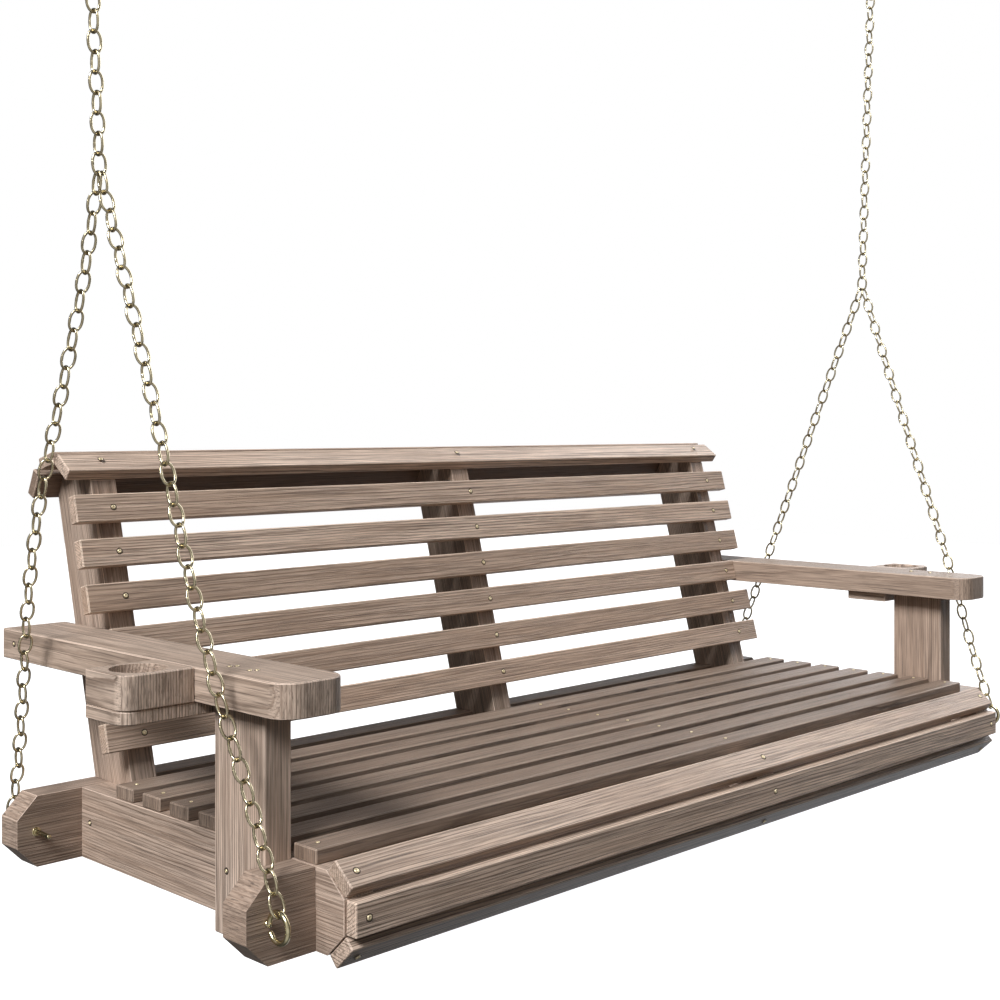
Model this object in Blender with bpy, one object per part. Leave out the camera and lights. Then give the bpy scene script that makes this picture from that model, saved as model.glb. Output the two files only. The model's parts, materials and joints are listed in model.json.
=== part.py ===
"""Porch swing seat: a slatted timber bench hung on four chain legs from two ceiling hooks.

Metres, +Z up, the bench faces -Y.  The origin is on the ceiling, midway between the two hooks.
Boards are laid out in a bench frame first (x from the left side rail's outer face, y from the nose
of the rails towards the back, z from the top of the rails) and moved to the origin as they are made.
"""
import math

import bmesh
import bpy
from mathutils import Matrix, Vector

# ---- overall ---------------------------------------------------------------
SPAN = 1.420            # between the outer faces of the two side rails
FIT = 0.0003            # gap left between pieces that touch
EASE = 0.0012           # eased edge on the boards

# ---- frame timbers (38 x 89 stock) -----------------------------------------
STOCK = 0.0885          # width of the stock
RAIL_H = 0.0893         # height of rails and beams
RAIL_T = 0.0400         # thickness of a rail
RAIL_LEN = 0.5284       # nose to the front face of the rear beam
NOSE_TOP_RUN = 0.0293   # how far back the upper nose cut starts
NOSE_TOP_DROP = 0.0246  # how far down it reaches
NOSE_LOW_RUN = 0.0279   # the same for the lower nose cut
NOSE_LOW_RISE = 0.0267
FRONT_BEAM_Y = 0.0470   # front face of the front beam
BEAM_T = 0.0405         # thickness of the two beams
BEAM_OVERHANG = 0.0885  # beam past the rail's outer face
BEAM_CHAMFER = 0.0270   # cut corners of the beam ends
MIDDLE_RAIL_X = 0.7358  # left face of the middle rail

# ---- slats -----------------------------------------------------------------
SLAT_T = 0.0165
SEAT_SLATS = 7
SEAT_SLAT_W = 0.0393
SEAT_SLAT_STEP = 0.0602
SEAT_SLAT_FIRST = 0.4101    # front edge of the rearmost seat slat
SEAT_SLAT_INSET = 0.0023    # slat ends short of the rail's outer face
NOSE_SLAT_W = 0.0371

# ---- back ------------------------------------------------------------------
RECLINE = math.radians(14.84)
BACK_Y = 0.4563             # the back slats' front plane meets z = 0 here
BACK_SLATS = 6
BACK_SLAT_W = 0.0371
BACK_SLAT_STEP = 0.0593
BACK_SLAT_TOP = 0.3868      # top edge of the highest back slat, measured up the back
BACK_SLAT_INSET = 0.0040
CAP_REAR_SLIDE = 0.0045     # the rear cap slat sits this far down its facet
ARM_SLAT = 4                # this slat (from the top) is cut short between the armrests
UPRIGHT_X = 0.0403          # outer face of a side upright
UPRIGHT_T = 0.0372
UPRIGHT_TOP = 0.4382        # top of the uprights, measured up the back
UPRIGHT_FOOT_Z = -0.0700
MIDDLE_UPRIGHT_X = 0.6982

# ---- armrests and cup holders ----------------------------------------------
POST_T = 0.0357
POST_REAR_Y = 0.1792
POST_FOOT_Z = -0.0916
ARM_TOP_Z = 0.2004
ARM_T = 0.0383
ARM_OUT_X = -0.0576
ARM_FRONT_Y = 0.0250
ARM_REAR_Y = 0.6266
ARM_NOSE_R = 0.0280
CUP_OUT_X = -0.1461
CUP_FRONT_Y = 0.1849
CUP_REAR_Y = 0.2622
CUP_CORNER_R = 0.0180
CUP_HOLE = (-0.1042, 0.2235)
CUP_HOLE_R = 0.0316
CUP_PLATE_T = 0.0150
CUP_PLATE_FRONT_Y = 0.1865
CUP_PLATE_IN_X = 0.0180

# ---- eye bolts -------------------------------------------------------------
EYE_X = -0.0630
EYE_Z = -0.0446
EYE_WIRE_R = 0.0030
EYE_R = 0.0155              # centre line of the ring
EYE_NECK = 0.0018           # between the ring and the beam
EYE_GAP = math.radians(24)
EYE_STUB = 0.0340           # shank left past the beam
BOLT_HOLE_R = 0.0033
WASHER_R = 0.0058
WASHER_T = 0.0010
NUT_FLATS = 0.0086
NUT_T = 0.0032

# ---- chains ----------------------------------------------------------------
LINK_WIRE_R = 0.0016
LINK_PITCH = 0.0230         # inside length of a link
LINK_HALF_W = 0.0082        # centre line of the wire from the link's middle
JUNCTION_HALF_W = 0.0089    # the same for the rounder link the right legs share
LINK_OVAL = 0.65            # 1 is a true ellipse, 0 has straight sides
HINGE_X = {"left": -0.1008, "right": -0.1118}
HINGE_Y = 0.3100
HINGE_Z = 0.7457            # centre of the wire the four legs hang from
LEG_LINKS = {"left": 36, "right": 35}   # the right legs share one more link at the top
LEG_SPREAD = 0.0019         # the two left legs hang side by side on one wire
JUNCTION_SPREAD = 0.0029    # the two right legs hang this far each side of the shared link
LEG_TOP_FIT = 0.0011
LEG_EYE_FIT = 0.0008
LEG_BOWS = {                # outward bow of each leg at fractions of its length
    "front_left": ((0.30, 0.0030), (0.60, 0.0105), (0.73, 0.0090), (0.86, 0.0020)),
    "rear_left": ((0.15, 0.0008), (0.30, 0.0085), (0.48, 0.0190), (0.62, 0.0180), (0.80, 0.0075),
                  (0.92, 0.0010)),
    "front_right": ((0.30, 0.0020), (0.60, 0.0070), (0.75, 0.0040), (0.87, -0.0018)),
    "rear_right": ((0.35, -0.0010), (0.70, 0.0020)),
}
UPPER_LINKS = 24
UPPER_LEAN = {"left": 0.0360, "right": 0.0756}   # outward lean of the upper chains, x per z
UPPER_LEAN_BACK = 0.0109                         # the same towards the back, y per z

# ---- ceiling hooks ---------------------------------------------------------
HOOK_WIRE_R = 0.0040
HOOK_R = 0.0160
HOOK_SHANK = 0.0180
HOOK_PLATE_R = 0.0200
HOOK_PLATE_T = 0.0060

HOOK_RISE = UPPER_LINKS * LINK_PITCH + LINK_WIRE_R - HOOK_WIRE_R - 6.0 * FIT
HOOK_Z = HINGE_Z + HOOK_RISE
HOOK_Y = HINGE_Y + UPPER_LEAN_BACK * HOOK_RISE
HOOK_X = {side: HINGE_X[side] - UPPER_LEAN[side] * HOOK_RISE for side in HINGE_X}
CEILING_Z = HOOK_Z + 2.0 * HOOK_R + HOOK_SHANK + HOOK_PLATE_T
FRONT_BEAM_REAR = FRONT_BEAM_Y + BEAM_T
REAR_BEAM_Y = RAIL_LEN
REAR_BEAM_REAR = REAR_BEAM_Y + BEAM_T
ARM_IN_X = ARM_OUT_X + STOCK
ARM_LOW_Z = ARM_TOP_Z - ARM_T

MIDDLE_X = (HOOK_X["left"] + SPAN - HOOK_X["right"]) / 2.0
ORIGIN = Vector((MIDDLE_X, HOOK_Y, CEILING_Z))
SEAT_PIVOT = Vector((MIDDLE_X, HINGE_Y, HINGE_Z))
HOOK_PIVOT = Vector((MIDDLE_X, HOOK_Y, HOOK_Z))
FACETS = 16


# ---- making nodes ----------------------------------------------------------
def clear_scene():
    for item in list(bpy.data.objects):
        bpy.data.objects.remove(item, do_unlink=True)


def make_material(name, colour, roughness, metallic):
    material = bpy.data.materials.new(name)
    material.use_nodes = True
    shader = material.node_tree.nodes["Principled BSDF"]
    shader.inputs["Base Color"].default_value = (*colour, 1.0)
    shader.inputs["Roughness"].default_value = roughness
    shader.inputs["Metallic"].default_value = metallic
    return material


def wood(name):
    return make_material(name + "_wood", (0.300, 0.230, 0.180), 0.72, 0.0)


def brass(name):
    return make_material(name + "_metal", (0.560, 0.510, 0.380), 0.32, 1.0)


def make_node(name, mesh_data, material, pivot, smooth=False):
    """Turn a bmesh laid out in the bench frame into an object whose origin is the pivot."""
    bmesh.ops.recalc_face_normals(mesh_data, faces=mesh_data.faces)
    bmesh.ops.translate(mesh_data, verts=mesh_data.verts, vec=-pivot)
    mesh = bpy.data.meshes.new(name)
    mesh_data.to_mesh(mesh)
    mesh_data.free()
    node = bpy.data.objects.new(name, mesh)
    node.location = pivot - ORIGIN
    bpy.context.scene.collection.objects.link(node)
    mesh.materials.append(material)
    if smooth:
        mesh.shade_smooth()
    return node


def combine(node, others, operation):
    """Unite with, or cut away, each of the other objects and drop them."""
    for other in others:
        other.hide_render = True
        other.display_type = 'WIRE'
        change = node.modifiers.new("combine", 'BOOLEAN')
        change.operation = operation
        change.solver = 'EXACT'
        change.object = other
        bpy.context.view_layer.update()
        depsgraph = bpy.context.evaluated_depsgraph_get()
        result = bpy.data.meshes.new_from_object(node.evaluated_get(depsgraph))
        node.modifiers.remove(change)
        node.data = result
        bpy.data.objects.remove(other, do_unlink=True)
    return node


# ---- basic shapes, all in the bench frame ----------------------------------
def prism(points, direction, eased=0.0):
    """A flat outline pushed along a direction."""
    shape = bmesh.new()
    base = shape.faces.new([shape.verts.new(point) for point in points])
    pushed = bmesh.ops.extrude_face_region(shape, geom=[base])
    moved = [item for item in pushed["geom"] if isinstance(item, bmesh.types.BMVert)]
    bmesh.ops.translate(shape, verts=moved, vec=direction)
    if eased:
        bmesh.ops.bevel(shape, geom=shape.edges[:], offset=eased, segments=1, affect='EDGES')
    return shape


def block(low, high, eased=EASE):
    corners = [(low[0], low[1], low[2]), (low[0], high[1], low[2]),
               (low[0], high[1], high[2]), (low[0], low[1], high[2])]
    return prism(corners, Vector((high[0] - low[0], 0.0, 0.0)), eased)


def side_prism(outline, x_low, x_high, eased=0.0):
    """A (y, z) outline pushed along x."""
    return prism([(x_low, y, z) for y, z in outline], Vector((x_high - x_low, 0.0, 0.0)), eased)


def flat_prism(outline, z_low, z_high, eased=0.0):
    """An (x, y) outline pushed up."""
    return prism([(x, y, z_low) for x, y in outline], Vector((0.0, 0.0, z_high - z_low)), eased)


def arc(centre, radius, start, end, steps):
    """Points on an arc, angles in degrees."""
    points = []
    for step in range(steps + 1):
        angle = math.radians(start + (end - start) * step / steps)
        points.append((centre[0] + radius * math.cos(angle), centre[1] + radius * math.sin(angle)))
    return points


def cylinder(centre, axis, radius, length, facets=FACETS):
    """A round bar centred on a point."""
    shape = bmesh.new()
    turn = axis.to_track_quat('Z', 'Y').to_matrix().to_4x4()
    bmesh.ops.create_cone(shape, cap_ends=True, segments=facets, radius1=radius, radius2=radius,
                          depth=length, matrix=Matrix.Translation(centre) @ turn)
    return shape


def tube(path, normal, radius, facets, closed):
    """A round wire along a path that lies in the plane with the given normal."""
    shape = bmesh.new()
    rings = []
    count = len(path)
    for index, point in enumerate(path):
        after = path[(index + 1) % count] if closed or index < count - 1 else point
        before = path[index - 1] if closed or index > 0 else point
        along = (after - before).normalized()
        across = normal.cross(along)
        ring = []
        for facet in range(facets):
            angle = 2.0 * math.pi * facet / facets
            ring.append(shape.verts.new(point + radius * (math.cos(angle) * across
                                                          + math.sin(angle) * normal)))
        rings.append(ring)
    pairs = count if closed else count - 1
    for index in range(pairs):
        ring = rings[index]
        following = rings[(index + 1) % count]
        for facet in range(facets):
            beside = (facet + 1) % facets
            shape.faces.new((ring[facet], ring[beside], following[beside], following[facet]))
    if not closed:
        shape.faces.new(rings[0][::-1])
        shape.faces.new(rings[-1])
    return shape


def mirror_x(x):
    """The same distance in from the right-hand side rail's outer face."""
    return SPAN - x


# ---- bench frame timbers ---------------------------------------------------
def make_rail(name, x_low):
    """Side member with a three-sided nose, notched from below over the front beam."""
    notch_top = -RAIL_H / 2.0 + FIT / 2.0
    outline = [(0.0, -NOSE_TOP_DROP), (0.0, -RAIL_H + NOSE_LOW_RISE), (NOSE_LOW_RUN, -RAIL_H),
               (FRONT_BEAM_Y - FIT, -RAIL_H), (FRONT_BEAM_Y - FIT, notch_top),
               (FRONT_BEAM_REAR + FIT, notch_top), (FRONT_BEAM_REAR + FIT, -RAIL_H),
               (RAIL_LEN - FIT, -RAIL_H), (RAIL_LEN - FIT, 0.0), (NOSE_TOP_RUN, 0.0)]
    return make_node(name, side_prism(outline, x_low, x_low + RAIL_T), wood(name), SEAT_PIVOT)


def rail_positions():
    return [("rail_left", 0.0), ("rail_middle", MIDDLE_RAIL_X), ("rail_right", SPAN - RAIL_T)]


def make_beam(name, y_low, notched):
    """Cross member with cut corners, bored for an eye bolt at each end."""
    left = -BEAM_OVERHANG
    right = SPAN + BEAM_OVERHANG
    cut = BEAM_CHAMFER
    outline = [(left + cut, -RAIL_H), (right - cut, -RAIL_H), (right, -RAIL_H + cut),
               (right, -cut), (right - cut, 0.0)]
    if notched:
        floor = -RAIL_H / 2.0 - FIT / 2.0
        for _, x_low in reversed(rail_positions()):
            outline += [(x_low + RAIL_T + FIT, 0.0), (x_low + RAIL_T + FIT, floor),
                        (x_low - FIT, floor), (x_low - FIT, 0.0)]
    outline += [(left + cut, 0.0), (left, -cut), (left, -RAIL_H + cut)]
    points = [(x, y_low, z) for x, z in outline]
    beam = make_node(name, prism(points, Vector((0.0, BEAM_T, 0.0))), wood(name), SEAT_PIVOT)
    bores = []
    for x in (EYE_X, mirror_x(EYE_X)):
        centre = Vector((x, y_low + BEAM_T / 2.0, EYE_Z))
        bore = cylinder(centre, Vector((0.0, 1.0, 0.0)), BOLT_HOLE_R, BEAM_T * 2.0)
        bores.append(make_node("bore", bore, wood("bore"), SEAT_PIVOT))
    return combine(beam, bores, 'DIFFERENCE')


def make_bench_frame():
    for name, x_low in rail_positions():
        make_rail(name, x_low)
    make_beam("front_beam", FRONT_BEAM_Y, True)
    make_beam("rear_beam", REAR_BEAM_Y, False)


# ---- seat ------------------------------------------------------------------
def make_seat_slats():
    for index in range(SEAT_SLATS):
        name = "seat_slat_" + str(index + 1)
        front = SEAT_SLAT_FIRST - index * SEAT_SLAT_STEP
        low = (SEAT_SLAT_INSET, front, FIT)
        high = (mirror_x(SEAT_SLAT_INSET), front + SEAT_SLAT_W, FIT + SLAT_T)
        make_node(name, block(low, high), wood(name), SEAT_PIVOT)


def slat_on_facet(name, start, end, width, inset, to_world):
    """A slat centred on the facet between two outline points, on the outline's left-hand side."""
    run = Vector((end[0] - start[0], end[1] - start[1]))
    along = run.normalized()
    outward = Vector((-along.y, along.x))
    middle = Vector(start) + run / 2.0 + outward * FIT
    half = along * (width / 2.0)
    outline = [middle - half, middle + half, middle + half + outward * SLAT_T,
               middle - half + outward * SLAT_T]
    placed = [to_world(point) for point in outline]
    points = [(inset, y, z) for y, z in placed]
    push = Vector((SPAN - 2.0 * inset, 0.0, 0.0))
    return make_node(name, prism(points, push, EASE), wood(name), SEAT_PIVOT)


def make_nose_slats():
    """Three slats round the nose of the rails."""
    upper = ((NOSE_TOP_RUN, 0.0), (0.0, -NOSE_TOP_DROP))
    lower = ((0.0, -RAIL_H + NOSE_LOW_RISE), (NOSE_LOW_RUN, -RAIL_H))
    front = (upper[1], lower[0])
    for name, facet in (("upper", upper), ("front", front), ("lower", lower)):
        slat_on_facet("nose_slat_" + name, facet[1], facet[0], NOSE_SLAT_W, SEAT_SLAT_INSET, tuple)


# ---- back ------------------------------------------------------------------
def on_back(forward, up):
    """Bench (y, z) of a point given forward of the slats' front plane and up the back."""
    y = BACK_Y + up * math.sin(RECLINE) - forward * math.cos(RECLINE)
    z = up * math.cos(RECLINE) + forward * math.sin(RECLINE)
    return (y, z)


def up_back_at(forward, z):
    return (z - forward * math.sin(RECLINE)) / math.cos(RECLINE)


def upright_top():
    """The three-sided top of an upright as (forward, up) points, front to rear."""
    front = -SLAT_T - FIT
    rear = front - STOCK
    low = UPRIGHT_TOP - NOSE_TOP_RUN
    return [(front, low), (front - NOSE_TOP_DROP, UPRIGHT_TOP),
            (rear + NOSE_TOP_DROP, UPRIGHT_TOP), (rear, low)]


def make_upright(name, x_low):
    """Reclined post whose foot is notched over the rear beam and runs down beside the rail."""
    top = upright_top()
    front = top[0][0]
    rear = top[-1][0]
    outline = [on_back(*point) for point in top]
    outline.append(on_back(rear, up_back_at(rear, FIT)))
    outline.append((REAR_BEAM_Y - FIT, FIT))
    outline.append((REAR_BEAM_Y - FIT, UPRIGHT_FOOT_Z))
    outline.append(on_back(front, up_back_at(front, UPRIGHT_FOOT_Z)))
    return make_node(name, side_prism(outline, x_low, x_low + UPRIGHT_T), wood(name), SEAT_PIVOT)


def make_back():
    make_upright("upright_left", UPRIGHT_X)
    make_upright("upright_middle", MIDDLE_UPRIGHT_X)
    make_upright("upright_right", mirror_x(UPRIGHT_X) - UPRIGHT_T)
    for index in range(BACK_SLATS):
        name = "back_slat_" + str(index + 1)
        inset = ARM_IN_X + FIT if index + 1 == ARM_SLAT else BACK_SLAT_INSET
        top = BACK_SLAT_TOP - index * BACK_SLAT_STEP
        outline = [on_back(0.0, top - BACK_SLAT_W), on_back(0.0, top),
                   on_back(-SLAT_T, top), on_back(-SLAT_T, top - BACK_SLAT_W)]
        shape = side_prism(outline, inset, mirror_x(inset), EASE)
        make_node(name, shape, wood(name), SEAT_PIVOT)
    top = upright_top()
    for name, first, slide in (("front", 0, 0.0), ("top", 1, 0.0), ("rear", 2, CAP_REAR_SLIDE)):
        high, low = Vector(top[first]), Vector(top[first + 1])
        down = (low - high).normalized() * slide
        slat_on_facet("cap_slat_" + name, low + down, high + down, BACK_SLAT_W, BACK_SLAT_INSET,
                      lambda point: on_back(*point))


# ---- armrests and cup holders ----------------------------------------------
def sided(side, x):
    """A left-hand x, or its mirror image on the right."""
    return x if side == "left" else mirror_x(x)


def make_arm(side):
    """Post, armrest, cup holder and the thin plate under both."""
    post = "arm_post_" + side
    ends = sorted((sided(side, -FIT - POST_T), sided(side, -FIT)))
    low = (ends[0], FRONT_BEAM_REAR + FIT, POST_FOOT_Z)
    high = (ends[1], POST_REAR_Y, ARM_LOW_Z - FIT)
    make_node(post, block(low, high), wood(post), SEAT_PIVOT)

    arm = "armrest_" + side
    radius = ARM_NOSE_R
    outline = [(ARM_IN_X, ARM_REAR_Y), (ARM_OUT_X, ARM_REAR_Y)]
    outline += arc((ARM_OUT_X + radius, ARM_FRONT_Y + radius), radius, 180.0, 270.0, 6)
    outline += arc((ARM_IN_X - radius, ARM_FRONT_Y + radius), radius, 270.0, 360.0, 6)
    outline = [(sided(side, x), y) for x, y in outline]
    make_node(arm, flat_prism(outline, ARM_LOW_Z, ARM_TOP_Z, EASE), wood(arm), SEAT_PIVOT)

    holder = "cup_holder_" + side
    radius = CUP_CORNER_R
    edge = ARM_OUT_X - FIT
    outline = [(edge, CUP_FRONT_Y), (edge, CUP_REAR_Y), (CUP_OUT_X, CUP_REAR_Y)]
    outline += arc((CUP_OUT_X + radius, CUP_FRONT_Y + radius), radius, 180.0, 270.0, 5)
    body = [(sided(side, x), y) for x, y in outline]
    cup = make_node(holder, flat_prism(body, ARM_LOW_Z, ARM_TOP_Z, EASE), wood(holder), SEAT_PIVOT)
    centre = Vector((sided(side, CUP_HOLE[0]), CUP_HOLE[1], ARM_TOP_Z - ARM_T / 2.0))
    well = cylinder(centre, Vector((0.0, 0.0, 1.0)), CUP_HOLE_R, ARM_T * 2.0, 40)
    combine(cup, [make_node("well", well, wood("well"), SEAT_PIVOT)], 'DIFFERENCE')

    plate = "cup_plate_" + side
    front = CUP_PLATE_FRONT_Y
    outline = [(CUP_PLATE_IN_X, front), (CUP_PLATE_IN_X, CUP_REAR_Y), (CUP_OUT_X, CUP_REAR_Y)]
    outline += arc((CUP_OUT_X + radius, front + radius), radius, 180.0, 270.0, 5)
    outline = [(sided(side, x), y) for x, y in outline]
    top = ARM_LOW_Z - FIT
    shape = flat_prism(outline, top - CUP_PLATE_T, top, EASE)
    make_node(plate, shape, wood(plate), SEAT_PIVOT)


# ---- eye bolts -------------------------------------------------------------
def make_eye_bolt(place, x, face_y, inward):
    """Ring outside the beam, shank through it, washer and nut on the far side."""
    forward = Vector((0.0, inward, 0.0))
    centre = Vector((x, face_y, EYE_Z)) - forward * (EYE_R + EYE_WIRE_R + EYE_NECK)
    path = []
    for step in range(25):
        angle = (2.0 * math.pi - EYE_GAP) * step / 24
        path.append(centre + EYE_R * (math.cos(angle) * forward
                                      + math.sin(angle) * Vector((0.0, 0.0, 1.0))))
    name = "eye_bolt_" + place
    ring = tube(path, Vector((1.0, 0.0, 0.0)), EYE_WIRE_R, 10, False)
    bolt = make_node(name, ring, brass(name), SEAT_PIVOT, True)
    start = centre + forward * (EYE_R - EYE_WIRE_R * 0.5)
    end = Vector((x, face_y, EYE_Z)) + forward * (BEAM_T + EYE_STUB)
    shank = cylinder((start + end) / 2.0, forward, EYE_WIRE_R * 0.96, (end - start).length)
    combine(bolt, [make_node("shank", shank, brass("shank"), SEAT_PIVOT)], 'UNION')
    bolt.data.shade_smooth()

    far = Vector((x, face_y, EYE_Z)) + forward * (BEAM_T + FIT)
    for part, thickness, outer, facets in (("washer_", WASHER_T, WASHER_R, 24),
                                           ("nut_", NUT_T, NUT_FLATS / math.sqrt(3.0), 6)):
        middle = far + forward * (thickness / 2.0)
        solid = cylinder(middle, forward, outer, thickness, facets)
        node = make_node(part + place, solid, brass(part + place), SEAT_PIVOT)
        bore = cylinder(middle, forward, BOLT_HOLE_R, thickness * 3.0)
        combine(node, [make_node("bore", bore, brass("bore"), SEAT_PIVOT)], 'DIFFERENCE')
        far = far + forward * (thickness + FIT)


def make_eye_bolts():
    for side in ("left", "right"):
        make_eye_bolt("front_" + side, sided(side, EYE_X), FRONT_BEAM_Y, 1.0)
        make_eye_bolt("rear_" + side, sided(side, EYE_X), REAR_BEAM_REAR, -1.0)


# ---- chains ----------------------------------------------------------------
def link_reach(half_width, across):
    """How far up a link's wire centre line lies at a distance across from its middle."""
    tall = LINK_PITCH / 2.0 + LINK_WIRE_R
    rise = math.sqrt(max(0.0, 1.0 - (across / half_width) ** 2))
    straight = tall - half_width
    return LINK_OVAL * tall * rise + (1.0 - LINK_OVAL) * (half_width * rise + straight)


def link_shape(centre, along, normal, half_width=LINK_HALF_W):
    """One oval link, long way along one direction, lying in the plane with the given normal."""
    across = normal.cross(along).normalized()
    path = []
    for end, start in ((1.0, 0.0), (-1.0, 180.0)):
        for x, _ in arc((0.0, 0.0), half_width, start, start + 180.0, 8):
            path.append(centre + across * x + along * (end * link_reach(half_width, x)))
    return tube(path, normal, LINK_WIRE_R, 8, True)


def bow_at(stops, t):
    """Smooth outward bow through the given (fraction, amount) stops, zero at both ends."""
    knots = ((0.0, 0.0),) + stops + ((1.0, 0.0),)
    index = 0
    while index < len(knots) - 2 and t > knots[index + 1][0]:
        index += 1
    slopes = []
    for middle in (index, index + 1):
        before = knots[max(middle - 1, 0)]
        after = knots[min(middle + 1, len(knots) - 1)]
        slopes.append((after[1] - before[1]) / (after[0] - before[0]))
    (start, low), (end, high) = knots[index], knots[index + 1]
    width = end - start
    s = (t - start) / width
    return (low * (1.0 + 2.0 * s) * (1.0 - s) ** 2 + high * s * s * (3.0 - 2.0 * s)
            + width * slopes[0] * s * (1.0 - s) ** 2 - width * slopes[1] * s * s * (1.0 - s))


def curve_points(top, bottom, outward_way, stops, count):
    """Evenly spaced points down a line that bows outwards."""
    fine = []
    for step in range(401):
        t = step / 400
        fine.append(top.lerp(bottom, t) + outward_way * bow_at(stops, t))
    lengths = [0.0]
    for before, after in zip(fine, fine[1:]):
        lengths.append(lengths[-1] + (after - before).length)
    points = []
    index = 0
    for step in range(count + 1):
        wanted = lengths[-1] * step / count
        while index < 399 and lengths[index + 1] < wanted:
            index += 1
        share = (wanted - lengths[index]) / (lengths[index + 1] - lengths[index])
        points.append(fine[index].lerp(fine[index + 1], share))
    return points


def link_frames(points, first_flat):
    """Centre, direction and plane normal of each link; the planes alternate."""
    frames = []
    for index, (start, end) in enumerate(zip(points, points[1:])):
        along = (start - end).normalized()
        flat = first_flat if index % 2 == 0 else not first_flat
        rough = Vector((1.0, 0.0, 0.0)) if flat else Vector((0.0, 1.0, 0.0))
        normal = (rough - along * rough.dot(along)).normalized()
        frames.append(((start + end) / 2.0, along, normal))
    return frames


def make_chain(name, points, first_flat, pivot):
    """A run of chain as one body: true links at both ends, a waisted strip for those between."""
    frames = link_frames(points, first_flat)
    strip = bmesh.new()
    rings = []
    wide = LINK_HALF_W + LINK_WIRE_R
    waist = LINK_WIRE_R * 1.6
    inside = LINK_WIRE_R * 0.7

    def ring_at(centre, along, half_side, half_depth):
        side = Vector((1.0, 0.0, 0.0)) - along * along.x
        side.normalize()
        depth = along.cross(side)
        corners = (side * half_side, depth * half_depth, -side * half_side, -depth * half_depth)
        rings.append([strip.verts.new(centre + corner) for corner in corners])

    for index, (centre, along, normal) in enumerate(frames[1:-1], start=1):
        ring_at(points[index] - along * (inside if index == 1 else 0.0), along, waist, waist)
        faces_sideways = abs(normal.x) > 0.5
        ring_at(centre, along, LINK_WIRE_R if faces_sideways else wide,
                wide if faces_sideways else LINK_WIRE_R)
    ring_at(points[-2] + frames[-2][1] * inside, frames[-2][1], waist, waist)
    for before, after in zip(rings, rings[1:]):
        for corner in range(4):
            beside = (corner + 1) % 4
            strip.faces.new((before[corner], before[beside], after[beside], after[corner]))
    strip.faces.new(rings[0][::-1])
    strip.faces.new(rings[-1])
    chain = make_node(name, strip, brass(name), pivot)
    ends = []
    for centre, along, normal in (frames[0], frames[-1]):
        link = link_shape(centre, along, normal)
        ends.append(make_node("end_link", link, brass("end_link"), pivot))
    combine(chain, ends, 'UNION')
    return chain


def eye_top(side, rear):
    """Centre of the wire at the top of an eye bolt's ring."""
    if rear:
        y = REAR_BEAM_REAR + EYE_R + EYE_WIRE_R + EYE_NECK
    else:
        y = FRONT_BEAM_Y - EYE_R - EYE_WIRE_R - EYE_NECK
    return Vector((sided(side, EYE_X), y, EYE_Z + EYE_R))


def hinge_at(side):
    return Vector((sided(side, HINGE_X[side]), HINGE_Y, HINGE_Z))


def junction_centre():
    return hinge_at("right") + Vector((0.0, 0.0, LINK_WIRE_R + FIT - LINK_PITCH / 2.0))


def make_legs():
    """Two chains down each side, from the hinge to the front and rear eye bolts."""
    for side, outward in (("left", -1.0), ("right", 1.0)):
        for end, back in (("front", -1.0), ("rear", 1.0)):
            eye = eye_top(side, end == "rear")
            down = (eye - hinge_at(side)).normalized()
            bottom = eye + down * (EYE_WIRE_R + LEG_EYE_FIT)
            if side == "left":
                wire = hinge_at(side) + Vector((-back * LEG_SPREAD, 0.0, 0.0))
                top = wire - down * (LINK_WIRE_R + LEG_TOP_FIT)
            else:
                low = -link_reach(JUNCTION_HALF_W, JUNCTION_SPREAD)
                wire = junction_centre() + Vector((0.0, back * JUNCTION_SPREAD, low))
                top = wire - down * (LINK_WIRE_R + FIT)
            points = curve_points(top, bottom, Vector((outward, 0.0, 0.0)),
                                  LEG_BOWS[end + "_" + side], LEG_LINKS[side])
            make_chain("leg_chain_" + end + "_" + side, points, side == "left", SEAT_PIVOT)


def make_junction_link():
    """The extra link the two right-hand legs share."""
    name = "junction_link_right"
    link = link_shape(junction_centre(), Vector((0.0, 0.0, 1.0)), Vector((1.0, 0.0, 0.0)),
                      JUNCTION_HALF_W)
    make_node(name, link, brass(name), SEAT_PIVOT, True)


def make_upper_chains():
    for side in ("left", "right"):
        hook = Vector((sided(side, HOOK_X[side]), HOOK_Y, HOOK_Z))
        down = (hinge_at(side) - hook).normalized()
        top = hook - down * (HOOK_WIRE_R + FIT)
        bottom = hinge_at(side) - down * LINK_WIRE_R
        points = curve_points(top, bottom, Vector((0.0, 0.0, 0.0)), (), UPPER_LINKS)
        make_chain("upper_chain_" + side, points, True, HOOK_PIVOT)


# ---- ceiling hooks ---------------------------------------------------------
def make_hook(side):
    """Closed ring on a shank under a round ceiling plate."""
    x = sided(side, HOOK_X[side])
    path = []
    for px, pz in arc((x, HOOK_Z + HOOK_R), HOOK_R, 0.0, 345.0, 23):
        path.append(Vector((px, HOOK_Y, pz)))
    name = "ceiling_hook_" + side
    ring = tube(path, Vector((0.0, 1.0, 0.0)), HOOK_WIRE_R, 10, True)
    hook = make_node(name, ring, brass(name), HOOK_PIVOT, True)
    top = CEILING_Z - HOOK_PLATE_T / 2.0
    low = HOOK_Z + 2.0 * HOOK_R - HOOK_WIRE_R * 0.4
    up = Vector((0.0, 0.0, 1.0))
    shank = cylinder(Vector((x, HOOK_Y, (top + low) / 2.0)), up, HOOK_WIRE_R * 0.97, top - low)
    plate = cylinder(Vector((x, HOOK_Y, top)), up, HOOK_PLATE_R, HOOK_PLATE_T, 32)
    parts = [make_node("shank", shank, brass("shank"), HOOK_PIVOT),
             make_node("plate", plate, brass("plate"), HOOK_PIVOT)]
    combine(hook, parts, 'UNION')


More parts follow.
